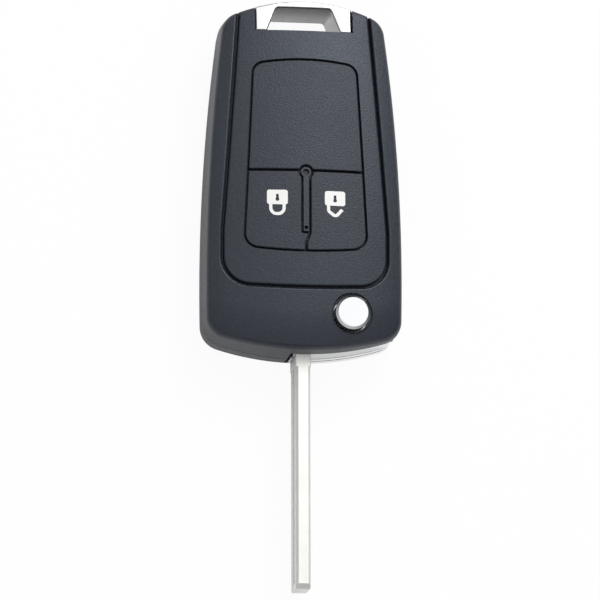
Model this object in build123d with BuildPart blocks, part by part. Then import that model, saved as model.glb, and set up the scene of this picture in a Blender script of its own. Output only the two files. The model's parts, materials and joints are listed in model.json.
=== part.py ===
from build123d import *
import os
from math import cos, degrees, hypot, radians, sin, sqrt, tan

# Car remote key of the flip kind, lying face up with its blade turned out.
# Millimetres. X right, Y towards the keyring loop, Z up out of the face.
# The origin is the middle of the flat back.

# Fob: overall sizes
fob_length = 68.4
part_line_z = 6.2
crown_top_z = 14.9
crown_centre_y = -12.0
crown_cross_radius = 75.0
crown_length_radius = 420.0
wall_draft = 4.0
rear_draft = 3.0
wall = 1.7
skin = 1.2
rear_floor = 2.0
face_edge_radius = 1.5
face_roll_rise = 0.15
rear_edge_radius = 1.5
part_line_bevel = 0.15

# Fob: plan outline, as half widths, and heights above the low (blade) end
low_corner_half_width = 18.7
low_corner_height = 3.4
high_corner_half_width = 15.5
high_corner_drop = 3.6
side_bow = 1.25
low_corner_radius = 4.7
high_corner_radius = 4.5

# Face plate inside the U-shaped groove
plate_thickness = 1.6
groove_gap = 0.5
plate_low_height = 12.5
plate_low_bow = 0.8
plate_low_half_width = 15.35
plate_corner_height = 23.0
plate_high_half_width = 12.0
plate_corner_radius = 5.2
plate_edge_radius = 0.35

# Button pad in the face plate
pad_gap = 0.4
pad_low_rise = 6.4
pad_low_bow = 0.9
pad_low_half_width = 11.9
pad_to_notch = 5.5
pad_high_bow = 1.0
pad_high_half_width = 10.1
pad_low_corner_radius = 3.0
pad_high_corner_radius = 2.6
pad_split_rise = 15.7
pad_edge_radius = 0.2
corner_softening = 0.3
key_travel = 0.5
key_floor_gap = 0.1

# Centre spine between the buttons
spine_width = 1.0
spine_low_rise = 3.6
spine_head_radius = 0.95
spine_head_drop = 0.3
spine_sink = 0.15
light_hole_radius = 0.6
split_run = 1.8
spine_dimple_radius = 0.35
spine_dimple_rise = 1.1

# Padlock signs, drawn with the shackle towards the blade end
sign_offset = 5.45
sign_drop = 5.3
sign_body_width = 3.9
sign_body_depth = 2.8
sign_corner_radius = 0.45
sign_depth = 0.3
sign_clearance = 0.02
shackle_width = 3.1
shackle_length = 2.1
shackle_stroke = 0.6
keyhole_radius = 0.36
keyhole_slot = 0.5
keyhole_length = 1.0
keyhole_rise = 0.1
open_shackle_bow = 0.1
open_shackle_end = 1.1
shackle_bend_margin = 0.12

# Keyring loop and its notch
loop_half_width = 9.2
loop_root_length = 4.5
notch_depth = 6.3
loop_low_z = 0.4
loop_sink = 0.9
loop_root_low_z = 2.2
loop_root_top_z = 9.3
loop_opening_low_half_width = 7.0
loop_opening_high_half_width = 5.2
loop_bar = 1.5
loop_opening_radius = 0.8
loop_edge_radius = 0.4
loop_clearance = 0.15

# Hinge of the flip head
pivot_from_side = 10.0
pivot_height = 7.5
fold_angle = 184.5
head_half_depth = 6.3
head_inset = 0.45
head_clearance = 0.3
head_end_gap = 0.2
head_edge_radius = 0.5
head_corner_radius = 0.8
head_groove_z = 4.6
head_groove_width = 0.3
head_groove_depth = 0.2
mouth_left_low_x = -2.7
mouth_left_high_x = -2.4

# Bright trim strip under the head's mouth, let into the rear shell's low edge
trim_left_x = -1.9
trim_right_gap = 0.7
trim_depth = 1.0
trim_low_z = 0.5
trim_clearance = 0.03

# Fits of what turns
running_fit = 0.05

# Blade
blade_thickness = 2.7
blade_width = 7.6
blade_middle_z = 6.3
blade_reach = 43.8
tang_length = 6.5
tang_width = 5.0
tang_clearance = 0.03
blade_root_gap = 0.1
head_cheek = 0.3
blade_pin_radius = 0.8
blade_pin_inset = 2.6
blade_pin_right_x = 3.0
blade_edge_bevel = 0.42
blade_tip_width = 5.8
blade_tip_length = 0.9
groove_width = 2.2
groove_depth = 0.6
collar_length = 2.3
collar_stand = 0.12
collar_corner_radius = 0.25
slot_clearance = 0.5
slot_wall = 1.0
slot_end_clearance = 0.8

# Release button over the hinge: a raised face, a step and a bevel
button_radius = 3.25
button_travel = 1.5
button_left_standing = 0.2
button_flange_radius = 3.65
button_flange_low_z = 8.6
button_flange_top_z = 11.0
button_face_radius = 2.65
button_step = 0.15
button_bevel_start = 2.8
button_bevel_drop = 0.5
button_edge_radius = 0.1
button_wall = 0.8
recess_radius = 3.95
recess_depth = 1.1
bore_clearance = 0.15
boss_wall = 1.0
boss_depth = 1.1
spring_low_z = 4.6
spring_radius = 2.4
spring_wire = 0.25
spring_turns = 4.0
cap_shank_radius = 3.0
cap_flange_radius = 4.4
cap_flange_thickness = 0.9
cap_sink = 0.1
cap_coin_slot = 0.9

# Works inside
board_thickness = 1.0
board_clearance = 0.4
switch_size = 3.6
switch_height = 1.6
plunger_stand = 0.6
stem_size = 3.2
stem_clearance = 0.15
stem_drop = 7.6
stem_hook = 0.5
stem_hook_thickness = 0.6
stem_hook_gap = 0.35
light_thickness = 0.6
light_pipe_sink = 0.9
plunger_radius = 0.9
plunger_sunk = 0.4
cell_radius = 10.0
cell_thickness = 3.2
cell_clearance = 0.3
cell_x = -3.2
cell_height = 42.0
cover_thickness = 1.1
cover_gap = 0.15
cover_width = 24.0
cover_length = 27.0
cover_corner_radius = 3.0
pry_notch_width = 6.0
pry_notch_depth = 0.6
board_posts = [(-14.6, 25.0), (9.0, 25.0), (-13.6, 54.5), (8.0, 54.5)]
post_radius = 1.0
cell_seat_gap = 0.1
cell_edge_radius = 0.6
cell_rim = 1.0
cell_rim_depth = 0.25
clip_width = 4.0
clip_thickness = 0.3
contact_gap = 0.1
board_low_height = 20.5
switch_well_floor = 0.4
core_x = -10.5
core_height = 11.0
core_size = 3.4
core_length = 10.0
core_end = 1.2
core_neck = 1.6
winding_size = 3.0
light_size = 1.6
light_depth = 0.9
chip_x = -1.0
chip_height = 47.0
chip_size = 5.0
chip_thickness = 0.9
crystal_x = -8.0
crystal_height = 47.5
crystal_length = 3.2
crystal_width = 1.5
crystal_thickness = 0.8
small_part_columns = [-10.5, -8.5, 4.5, 6.5]
small_part_rows = [40.0, 43.5]
small_part_length = 1.0
small_part_width = 0.5
small_part_thickness = 0.35

# Values worked out from the sizes above
pivot_x = low_corner_half_width - pivot_from_side
high_corner_height = fob_length - high_corner_drop
middle_height = (low_corner_height + high_corner_height) / 2
middle_half_width = (low_corner_half_width + high_corner_half_width) / 2 + side_bow
notch_height = fob_length - notch_depth
loop_root_height = notch_height - loop_root_length
loop_opening_top_height = fob_length - loop_bar
pad_low_height = plate_low_height + pad_low_rise
pad_split_height = pad_low_height + pad_split_rise
pad_high_height = notch_height - pad_to_notch
spine_low_height = pad_low_height + spine_low_rise
spine_dimple_height = spine_low_height + spine_dimple_rise
spine_head_height = pad_split_height - spine_head_drop
sign_height = pad_split_height - sign_drop
split_shift = (spine_width + pad_gap) / 2
stem_height = pad_split_height - stem_drop
stem_x = sign_offset
outside = 2 * fob_length
crown_half_width = 1.4 * low_corner_half_width
crown_depth = crown_top_z + wall
crown_sweep = degrees(fob_length / crown_length_radius)
blank_field_width = 2.5 * low_corner_half_width
blank_field_length = 1.4 * fob_length
key_cap_thickness = plate_thickness - key_travel - key_floor_gap
low_end_y = -fob_length / 2
high_end_y = fob_length / 2
pivot_y = low_end_y + pivot_height
crown_axis_z = crown_top_z - crown_length_radius
button_bore_radius = button_flange_radius + bore_clearance
boss_radius = button_bore_radius + boss_wall
head_left = blade_thickness / 2 + head_cheek
head_radius = head_corner_radius + hypot(
    pivot_x + head_left - head_corner_radius, pivot_height - head_inset - head_corner_radius
)
head_cavity_radius = head_radius + head_clearance
slot_inner = pivot_x - blade_thickness / 2 - slot_clearance
slot_length = pivot_height + blade_reach + slot_end_clearance
slot_low_z = blade_middle_z - blade_width / 2 - slot_clearance / 2
slot_top_z = blade_middle_z + blade_width / 2 + slot_clearance / 2
board_z = part_line_z
blank_top_z = crown_top_z + 1.0
head_low_z = slot_low_z + head_end_gap
head_top_z = slot_top_z - head_end_gap
boss_low_z = slot_top_z - boss_depth
stem_low_z = board_z + board_thickness + switch_height + plunger_stand
fold_lean = fold_angle - 180.0
fold_frame = Plane(
    origin=(pivot_x, pivot_y, 0),
    x_dir=(cos(radians(fold_lean)), sin(radians(fold_lean)), 0),
    z_dir=(0, 0, 1),
)


def up(height):
    """Y of a point that lies so far above the fob's low end."""
    return low_end_y + height


def crown_z(x, y):
    """Height of the front face over a point of the plan."""
    drop = crown_cross_radius - sqrt(crown_cross_radius**2 - x**2)
    radius = crown_length_radius - drop
    return crown_axis_z + sqrt(radius**2 - (y - crown_centre_y) ** 2)


def crown(rise=0.0):
    """A block whose top is the double-curved front face, lifted by rise."""
    half = crown_half_width
    drop = crown_cross_radius - sqrt(crown_cross_radius**2 - half**2)
    top = crown_length_radius + rise
    start = Plane(origin=(0, crown_centre_y, crown_axis_z), x_dir=(1, 0, 0), z_dir=(0, -1, 0))
    with BuildPart(mode=Mode.PRIVATE) as block:
        with BuildSketch(start.rotated((-crown_sweep, 0, 0))):
            with BuildLine():
                arc = ThreePointArc((-half, top - drop), (0, top), (half, top - drop))
                Polyline(arc @ 1, (half, top - crown_depth), (-half, top - crown_depth), arc @ 0)
            make_face()
        crown_axis = Axis((0, crown_centre_y, crown_axis_z), (1, 0, 0))
        revolve(axis=crown_axis, revolution_arc=2 * crown_sweep)
    return block.part


def circle_through(first, second, third):
    """Centre and radius of the circle through three points of the plan."""
    with BuildLine(mode=Mode.PRIVATE):
        arc = ThreePointArc(first, second, third)
    return arc.arc_center, arc.radius


def fob_outline(inset=0.0):
    """Plan outline of the fob at its part line, drawn in by inset: four arcs, rounded corners."""
    low_corner = (low_corner_half_width, up(low_corner_height))
    high_corner = (high_corner_half_width, up(high_corner_height))
    low, low_radius = circle_through((-low_corner[0], low_corner[1]), (0, low_end_y), low_corner)
    high, high_radius = circle_through(
        (-high_corner[0], high_corner[1]), (0, high_end_y), high_corner
    )
    side, side_radius = circle_through(
        low_corner, (middle_half_width, up(middle_height)), high_corner
    )
    with BuildSketch(mode=Mode.PRIVATE) as high_end:
        with Locations((0, high.Y)):
            Circle(high_radius - inset)
            Rectangle(2 * (high_radius - inset), fob_length, align=(Align.CENTER, Align.MAX))
    with BuildSketch(mode=Mode.PRIVATE) as sketch:
        with Locations((0, low.Y)):
            Circle(low_radius - inset)
        add(high_end.sketch, mode=Mode.INTERSECT)
        for place in (Location((side.X, side.Y, 0), (0, 0, 180)), Location((-side.X, side.Y, 0))):
            with Locations(place):
                Circle(side_radius - inset, mode=Mode.INTERSECT)
        fillet(sketch.vertices().group_by(Axis.Y)[0], low_corner_radius - inset)
        fillet(sketch.vertices().group_by(Axis.Y)[-1], high_corner_radius - inset)
    return sketch.sketch


def drafted(low_z, low_inset, high_z, high_inset):
    """A slice of the fob between two heights, its outline drawn in by two insets."""
    with BuildPart(mode=Mode.PRIVATE) as slice_part:
        with BuildSketch(Plane.XY.offset(low_z)):
            add(fob_outline(low_inset))
        with BuildSketch(Plane.XY.offset(high_z)):
            add(fob_outline(high_inset))
        loft(ruled=True)
    return slice_part.part


def plate_outline(grow=0.0):
    """Plan outline of the face plate, open past the high end, grown by grow."""
    with BuildSketch(mode=Mode.PRIVATE) as sketch:
        with BuildLine():
            low = ThreePointArc(
                (-plate_low_half_width, up(plate_low_height + plate_low_bow)),
                (0, up(plate_low_height)),
                (plate_low_half_width, up(plate_low_height + plate_low_bow)),
            )
            Polyline(
                low @ 1,
                (plate_low_half_width, up(plate_corner_height)),
                (plate_high_half_width, high_end_y),
                (plate_high_half_width, high_end_y + wall),
                (-plate_high_half_width, high_end_y + wall),
                (-plate_high_half_width, high_end_y),
                (-plate_low_half_width, up(plate_corner_height)),
                low @ 0,
            )
        make_face()
        fillet(sketch.vertices().group_by(Axis.Y)[0], plate_corner_radius)
        if grow > 0:
            offset(amount=grow, mode=Mode.REPLACE)
    return sketch.sketch


def pad_outline(shrink=0.0):
    """Plan outline of the button pad, drawn in by shrink."""
    with BuildSketch(mode=Mode.PRIVATE) as sketch:
        with BuildLine():
            low = ThreePointArc(
                (-pad_low_half_width, up(pad_low_height + pad_low_bow)),
                (0, up(pad_low_height)),
                (pad_low_half_width, up(pad_low_height + pad_low_bow)),
            )
            right = Line(low @ 1, (pad_high_half_width, up(pad_high_height - pad_high_bow)))
            high = ThreePointArc(
                right @ 1,
                (0, up(pad_high_height)),
                (-pad_high_half_width, up(pad_high_height - pad_high_bow)),
            )
            Line(high @ 1, low @ 0)
        make_face()
        fillet(sketch.vertices().group_by(Axis.Y)[0], pad_low_corner_radius)
        fillet(sketch.vertices().group_by(Axis.Y)[-1], pad_high_corner_radius)
        if shrink > 0:
            offset(amount=-shrink, mode=Mode.REPLACE)
    return sketch.sketch


def works_outline(clearance=0.0):
    """Plan of the room for the electronics, drawn in by clearance."""
    slot_line = slot_inner - slot_wall - clearance
    with BuildSketch(mode=Mode.PRIVATE) as sketch:
        add(fob_outline(wall + clearance))
        with Locations(Location((pivot_x, pivot_y, 0), (0, 0, fold_lean))):
            with Locations((slot_line, 0)):
                Rectangle(outside, outside, align=(Align.MIN, Align.CENTER), mode=Mode.SUBTRACT)
        with Locations((pivot_x, pivot_y)):
            Circle(head_cavity_radius + slot_wall + clearance, mode=Mode.SUBTRACT)
        with Locations((0, up(loop_root_height) - slot_wall - clearance)):
            Rectangle(outside, outside, align=(Align.CENTER, Align.MIN), mode=Mode.SUBTRACT)
    return sketch.sketch


def notch_outline(clearance):
    """Plan of the notch for the keyring loop, open past the high end."""
    with BuildSketch(mode=Mode.PRIVATE) as sketch:
        with Locations((0, up(notch_height))):
            Rectangle(2 * (loop_half_width + clearance), outside, align=(Align.CENTER, Align.MIN))
    return sketch.sketch


same_point = 1e-4
least_turn = 0.25


def sharp_corners(sketch):
    """Vertices of a sketch where its outline turns, left out where it runs on smoothly."""
    corners = []
    for vertex in sketch.vertices():
        point = Vector(vertex)
        tangents = [
            edge.tangent_at(end)
            for edge in sketch.edges()
            for end in (0, 1)
            if (edge.position_at(end) - point).length < same_point
        ]
        if len(tangents) == 2 and tangents[0].cross(tangents[1]).length > least_turn:
            corners.append(vertex)
    return corners


def face_slab(outline, thickness, edge_radius):
    """A slab that lies under the crowned face, with its top edges rounded."""
    with BuildPart(mode=Mode.PRIVATE) as slab:
        with BuildSketch(Plane.XY.offset(part_line_z)):
            add(outline)
        extrude(amount=crown_top_z)
        add(crown(), mode=Mode.INTERSECT)
        fillet(slab.faces().sort_by(Axis.Z)[-1].edges(), edge_radius)
        add(crown(-thickness), mode=Mode.SUBTRACT)
    return slab.part


def under_crown(outline, low_z, sink):
    """A prism on an outline, from low_z up to the crowned face lowered by sink."""
    with BuildPart(mode=Mode.PRIVATE) as prism:
        with BuildSketch(Plane.XY.offset(low_z)):
            add(outline)
        extrude(amount=crown_top_z)
        add(crown(-sink), mode=Mode.INTERSECT)
    return prism.part


def over_crown(outline, sink):
    """A prism on an outline, from the crowned face lowered by sink up past the top."""
    with BuildPart(mode=Mode.PRIVATE) as prism:
        with BuildSketch(Plane.XY.offset(part_line_z)):
            add(outline)
        extrude(amount=2 * crown_top_z)
        add(crown(-sink), mode=Mode.SUBTRACT)
    return prism.part


def hinge_room():
    """The space that the flip head and the folded blade turn in, open at the side."""
    with BuildPart(mode=Mode.PRIVATE) as room:
        with BuildSketch(Plane.XY.offset(slot_low_z)):
            with Locations((pivot_x, pivot_y)):
                Circle(head_cavity_radius)
        extrude(amount=slot_top_z - slot_low_z)
        with BuildSketch(Plane(fold_frame.origin + (0, 0, slot_low_z), fold_frame.x_dir)):
            with Locations((slot_inner, 0)):
                Rectangle(outside, slot_length, align=(Align.MIN, Align.MIN))
        extrude(amount=slot_top_z - slot_low_z)
        with BuildSketch(Plane.XZ.offset(-low_end_y - wall)):
            Polygon(
                (mouth_left_low_x, slot_low_z),
                (outside, slot_low_z),
                (outside, slot_top_z),
                (mouth_left_high_x, slot_top_z),
                align=None,
            )
        extrude(amount=2 * wall)
    return room.part


def trim_room(clearance=0.0):
    """The band under the mouth, along the low edge, that the trim strip fills."""
    left = trim_left_x - clearance
    right = low_corner_half_width - trim_right_gap + clearance
    with BuildPart(mode=Mode.PRIVATE) as band:
        with BuildSketch(Plane.XY.offset(trim_low_z)):
            with Locations((left, low_end_y - wall)):
                Rectangle(right - left, low_corner_radius + wall, align=(Align.MIN, Align.MIN))
            add(fob_outline(trim_depth + clearance), mode=Mode.SUBTRACT)
        extrude(amount=slot_low_z - trim_low_z)
    return band.part


def loop_pocket():
    """The space that the keyring loop's root sits in, and the notch above it."""
    with BuildPart(mode=Mode.PRIVATE) as pocket:
        with BuildSketch(Plane.XY.offset(loop_root_low_z)):
            with Locations((0, up(loop_root_height) - loop_clearance)):
                Rectangle(
                    2 * (loop_half_width + loop_clearance), outside, align=(Align.CENTER, Align.MIN)
                )
        extrude(amount=loop_root_top_z + loop_clearance - loop_root_low_z)
        with BuildSketch(Plane.XY.offset(-crown_top_z)):
            add(notch_outline(loop_clearance))
        extrude(amount=3 * crown_top_z)
    return pocket.part


def padlock(is_open, grow=0.0):
    """Plan of a padlock sign about the middle of its body, shackle downwards."""
    low = -sign_body_depth / 2
    leg = (shackle_width - shackle_stroke) / 2
    with BuildSketch(mode=Mode.PRIVATE) as sketch:
        RectangleRounded(sign_body_width, sign_body_depth, sign_corner_radius)
        with BuildLine():
            if is_open:
                FilletPolyline(
                    (-leg, low / 2),
                    (-leg, low - shackle_length / 2),
                    (open_shackle_bow * leg, low - shackle_length),
                    (open_shackle_end * leg, low - shackle_length / 3),
                    radius=shackle_stroke,
                )
            else:
                FilletPolyline(
                    (-leg, low / 2),
                    (-leg, low - shackle_length + shackle_stroke / 2),
                    (leg, low - shackle_length + shackle_stroke / 2),
                    (leg, low / 2),
                    radius=leg - shackle_bend_margin,
                )
        trace(line_width=shackle_stroke)
        if grow > 0:
            offset(amount=grow, mode=Mode.REPLACE)
        else:
            with Locations((0, keyhole_rise - keyhole_length / 2)):
                Circle(keyhole_radius, mode=Mode.SUBTRACT)
            with Locations((0, keyhole_rise)):
                Rectangle(keyhole_slot, keyhole_length, mode=Mode.SUBTRACT)
    return sketch.sketch


def finish(part, name):
    """Label a finished piece and write its file."""
    part.label = name
    print(name, round(part.volume, 2), part.is_valid, len(part.solids()))
    export_step(part, f"parts/{name}.step")


os.makedirs("parts", exist_ok=True)
recess_floor_z = crown_z(pivot_x, pivot_y) - recess_depth

# Blank of the front: the drafted upper half with a rolled edge, a little over the face,
# and a bevel where it meets the lower half
with BuildPart() as front_blank:
    add(drafted(part_line_z, part_line_bevel, part_line_z + part_line_bevel, 0))
    front_lean = (blank_top_z - part_line_z) * tan(radians(wall_draft))
    add(drafted(part_line_z + part_line_bevel, 0, blank_top_z, front_lean))
    add(crown(face_roll_rise), mode=Mode.INTERSECT)
    fillet(front_blank.faces().sort_by(Axis.Z)[-1].edges(), face_edge_radius)

# Blank of the back: the drafted lower half, bevelled the same way
with BuildPart() as rear_blank:
    rear_lean = part_line_z * tan(radians(rear_draft))
    add(drafted(0, rear_lean, part_line_z - part_line_bevel, 0))
    fillet(rear_blank.faces().sort_by(Axis.Z)[0].edges(), rear_edge_radius)
    add(drafted(part_line_z - part_line_bevel, 0, part_line_z, part_line_bevel))

# Front shell: the outer frame of the face, with a floor under the face plate
with BuildSketch() as blank_field:
    Rectangle(blank_field_width, blank_field_length)
with BuildPart() as front_shell:
    add(under_crown(blank_field.sketch, part_line_z, 0))
    add(over_crown(plate_outline(groove_gap), plate_thickness), mode=Mode.SUBTRACT)
    fillet(front_shell.faces().sort_by(Axis.Z)[-1].inner_wires()[0].edges(), plate_edge_radius)
    add(front_blank.part, mode=Mode.INTERSECT)
    add(under_crown(works_outline(), part_line_z, plate_thickness + skin), mode=Mode.SUBTRACT)
    add(hinge_room(), mode=Mode.SUBTRACT)
    add(loop_pocket(), mode=Mode.SUBTRACT)
    # Boss that guides the release button and the top of the flip head
    with BuildSketch(Plane.XY.offset(boss_low_z)):
        with Locations((pivot_x, pivot_y)):
            Circle(boss_radius)
    extrude(amount=boss_depth + skin / 2)
    with BuildSketch(Plane.XZ.offset(-pivot_y)):
        with BuildLine():
            Polyline(
                (pivot_x, boss_low_z),
                (pivot_x + button_bore_radius, boss_low_z),
                (pivot_x + button_bore_radius, button_flange_top_z),
                (pivot_x + button_radius + bore_clearance, button_flange_top_z),
                (pivot_x + button_radius + bore_clearance, recess_floor_z),
                (pivot_x + recess_radius, recess_floor_z),
                (pivot_x + recess_radius, blank_top_z),
                (pivot_x, blank_top_z),
                close=True,
            )
        make_face()
    revolve(axis=Axis((pivot_x, pivot_y, 0), (0, 0, 1)), mode=Mode.SUBTRACT)
    # Holes in the floor for the two key stems and the light pipe
    for side in (-1, 1):
        with Locations((side * stem_x, up(stem_height), part_line_z)):
            Box(
                stem_size + 2 * stem_clearance,
                stem_size + 2 * stem_clearance,
                crown_top_z,
                align=(Align.CENTER, Align.CENTER, Align.MIN),
                mode=Mode.SUBTRACT,
            )
    with Locations((0, up(spine_head_height), part_line_z)):
        Cylinder(
            light_hole_radius,
            crown_top_z,
            align=(Align.CENTER, Align.CENTER, Align.MIN),
            mode=Mode.SUBTRACT,
        )
finish(front_shell.part, "front_shell")

# Face plate: fills the U-shaped groove and carries the pad opening
with BuildPart() as face_plate:
    add(face_slab(plate_outline(), plate_thickness, plate_edge_radius))
    add(front_blank.part, mode=Mode.INTERSECT)
    with BuildSketch(Plane.XY.offset(part_line_z)):
        add(pad_outline())
        add(notch_outline(loop_clearance))
    extrude(amount=crown_top_z, mode=Mode.SUBTRACT)
finish(face_plate.part, "face_plate")

# Blank panel: the plain upper part of the pad
with BuildSketch() as panel_sketch:
    add(pad_outline(pad_gap))
    with Locations((0, up(pad_split_height) + pad_gap / 2)):
        Rectangle(outside, outside, align=(Align.CENTER, Align.MIN), mode=Mode.INTERSECT)
    with Locations((0, up(spine_head_height))):
        Circle(spine_head_radius + pad_gap, mode=Mode.SUBTRACT)
    fillet(sharp_corners(panel_sketch), corner_softening)
finish(face_slab(panel_sketch.sketch, plate_thickness, pad_edge_radius), "blank_panel")

# Two keys, each a cap with a stem, and its white padlock sign
for name, side, is_open in (("lock", -1, False), ("unlock", 1, True)):
    with BuildSketch() as cap_sketch:
        add(pad_outline(pad_gap))
        Polygon(
            (side * pad_gap / 2, low_end_y),
            (side * pad_gap / 2, up(spine_low_height - split_run)),
            (side * pad_gap / 2 + split_shift, up(spine_low_height)),
            (side * pad_gap / 2 + split_shift, up(pad_split_height) - pad_gap / 2),
            (side * outside, up(pad_split_height) - pad_gap / 2),
            (side * outside, low_end_y),
            align=None,
            mode=Mode.INTERSECT,
        )
        with Locations((0, up(spine_low_height))):
            Rectangle(
                spine_width + 2 * pad_gap,
                outside,
                align=(Align.CENTER, Align.MIN),
                mode=Mode.SUBTRACT,
            )
        with Locations((0, up(spine_head_height))):
            Circle(spine_head_radius + pad_gap, mode=Mode.SUBTRACT)
        fillet(sharp_corners(cap_sketch), corner_softening)
    sign_place = Location((side * sign_offset, up(sign_height), 0))
    hook_top_z = crown_z(stem_x, up(stem_height)) - plate_thickness - skin - stem_hook_gap
    with BuildPart() as key:
        add(face_slab(cap_sketch.sketch, key_cap_thickness, pad_edge_radius))
        add(
            over_crown(sign_place * padlock(is_open, sign_clearance), sign_depth),
            mode=Mode.SUBTRACT,
        )
        # Stem through the shell's floor, and the hooks that hold the key in
        with BuildSketch() as stem_sketch:
            with Locations((side * stem_x, up(stem_height))):
                Rectangle(stem_size, stem_size)
        add(under_crown(stem_sketch.sketch, stem_low_z, key_cap_thickness / 2))
        with Locations((side * stem_x, up(stem_height), hook_top_z)):
            Box(
                stem_size + 2 * stem_hook,
                stem_size,
                stem_hook_thickness,
                align=(Align.CENTER, Align.CENTER, Align.MAX),
            )
    finish(key.part, f"{name}_button")
    with BuildPart() as sign:
        add(over_crown(sign_place * padlock(is_open), sign_depth))
        add(crown(), mode=Mode.INTERSECT)
    finish(sign.part, f"{name}_symbol")
    # Plunger of the switch below the key, sunk in its body
    with BuildPart() as plunger:
        with Locations((side * stem_x, up(stem_height), stem_low_z)):
            Cylinder(
                plunger_radius,
                plunger_stand + plunger_sunk,
                align=(Align.CENTER, Align.CENTER, Align.MAX),
            )
    finish(plunger.part, f"{name}_plunger")

# Centre spine between the keys, with the light hole in its round head and a small pin hole
with BuildSketch() as spine_sketch:
    with Locations((0, up(spine_low_height) + pad_gap)):
        Rectangle(
            spine_width,
            spine_head_height - spine_low_height - pad_gap,
            align=(Align.CENTER, Align.MIN),
        )
    with Locations((0, up(spine_head_height))):
        Circle(spine_head_radius)
        Circle(light_hole_radius, mode=Mode.SUBTRACT)
    with Locations((0, up(spine_dimple_height))):
        Circle(spine_dimple_radius, mode=Mode.SUBTRACT)
with BuildPart() as centre_spine:
    add(under_crown(spine_sketch.sketch, crown_top_z - plate_thickness, spine_sink))
finish(centre_spine.part, "centre_spine")

# Light pipe from the status light up into the hole
light_y = up(spine_head_height)
light_top_z = board_z + board_thickness + light_thickness
with BuildPart() as light_pipe:
    with Locations((0, light_y, light_top_z)):
        Cylinder(
            light_hole_radius - running_fit,
            crown_z(0, light_y) - light_pipe_sink - light_top_z,
            align=(Align.CENTER, Align.CENTER, Align.MIN),
        )
finish(light_pipe.part, "light_pipe")

# Keyring loop: a bow with a sloping opening, rooted between the shells
with BuildPart() as ring_loop:
    with BuildSketch(Plane.XY.offset(loop_low_z)):
        add(fob_outline(loop_clearance))
        with Locations((0, up(notch_height) + loop_clearance)):
            Rectangle(
                2 * loop_half_width, outside, align=(Align.CENTER, Align.MIN), mode=Mode.INTERSECT
            )
        with BuildSketch(mode=Mode.SUBTRACT) as opening:
            Polygon(
                (-loop_opening_low_half_width, up(notch_height) + loop_clearance),
                (loop_opening_low_half_width, up(notch_height) + loop_clearance),
                (loop_opening_high_half_width, up(loop_opening_top_height)),
                (-loop_opening_high_half_width, up(loop_opening_top_height)),
                align=None,
            )
            fillet(opening.vertices().group_by(Axis.Y)[-1], loop_opening_radius)
    extrude(amount=crown_top_z)
    add(crown(-loop_sink), mode=Mode.INTERSECT)
    fillet(ring_loop.faces().sort_by(Axis.Z)[-1].edges(), loop_edge_radius)
    fillet(ring_loop.faces().sort_by(Axis.Z)[0].edges(), loop_edge_radius)
    with BuildSketch(Plane.XY.offset(loop_root_low_z + loop_clearance)):
        with Locations((0, up(loop_root_height))):
            Rectangle(
                2 * loop_half_width,
                notch_height + 2 * loop_clearance - loop_root_height,
                align=(Align.CENTER, Align.MIN),
            )
    extrude(amount=loop_root_top_z - loop_root_low_z - loop_clearance)
finish(ring_loop.part, "ring_loop")

# Place of the cross pin's left end, in the head's left face, with the pin along X
pin_left = Location((-head_left, low_end_y + blade_pin_inset, blade_middle_z), (0, 90, 0))
pin_align = (Align.CENTER, Align.CENTER, Align.MIN)

# Flip head: a rounded block on the hinge, its low side following the fob's outline
with BuildPart() as flip_head:
    with BuildSketch(Plane.XY.offset(head_low_z)) as head_sketch:
        add(fob_outline(head_inset))
        with Locations((-head_left, pivot_y + head_half_depth)):
            Rectangle(outside, outside, align=(Align.MIN, Align.MAX), mode=Mode.INTERSECT)
    extrude(amount=head_top_z - head_low_z)
    head_corners = [Vector(vertex.X, vertex.Y) for vertex in sharp_corners(head_sketch)]
    fillet(
        flip_head.edges()
        .filter_by(Axis.Z)
        .filter_by(
            lambda edge: any(
                (Vector(edge.center().X, edge.center().Y) - corner).length < same_point
                for corner in head_corners
            )
        ),
        head_corner_radius,
    )
    fillet(flip_head.faces().sort_by(Axis.Z)[-1].edges(), head_edge_radius)
    fillet(flip_head.faces().sort_by(Axis.Z)[0].edges(), head_edge_radius)
    # Bore for the release button and its spring, bearing for the cap, room for the boss
    with BuildSketch(Plane.XZ.offset(-pivot_y)):
        with BuildLine():
            Polyline(
                (pivot_x, head_low_z),
                (pivot_x + cap_shank_radius + running_fit, head_low_z),
                (pivot_x + cap_shank_radius + running_fit, spring_low_z + running_fit),
                (pivot_x + button_bore_radius, spring_low_z + running_fit),
                (pivot_x + button_bore_radius, boss_low_z - running_fit),
                (pivot_x + boss_radius + running_fit, boss_low_z - running_fit),
                (pivot_x + boss_radius + running_fit, head_top_z),
                (pivot_x, head_top_z),
                close=True,
            )
        make_face()
    revolve(axis=Axis((pivot_x, pivot_y, 0), (0, 0, 1)), mode=Mode.SUBTRACT)
    # Pocket for the blade's tang, open at the low side
    with Locations((0, low_end_y - collar_length, blade_middle_z)):
        Box(
            blade_thickness + 2 * tang_clearance,
            collar_length + head_inset + tang_length + tang_clearance,
            tang_width + 2 * tang_clearance,
            align=(Align.CENTER, Align.MIN, Align.CENTER),
            mode=Mode.SUBTRACT,
        )
    with Locations(pin_left):
        Cylinder(
            blade_pin_radius,
            blade_pin_right_x + head_left + tang_clearance,
            align=pin_align,
            mode=Mode.SUBTRACT,
        )
    # Shallow groove along the middle of the low side, seen as a line in the chrome
    with BuildSketch(Plane.XY.offset(head_groove_z - head_groove_width / 2)):
        Rectangle(outside, outside)
        add(fob_outline(head_inset + head_groove_depth), mode=Mode.SUBTRACT)
    extrude(amount=head_groove_width, mode=Mode.SUBTRACT)
finish(flip_head.part, "flip_head")

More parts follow.
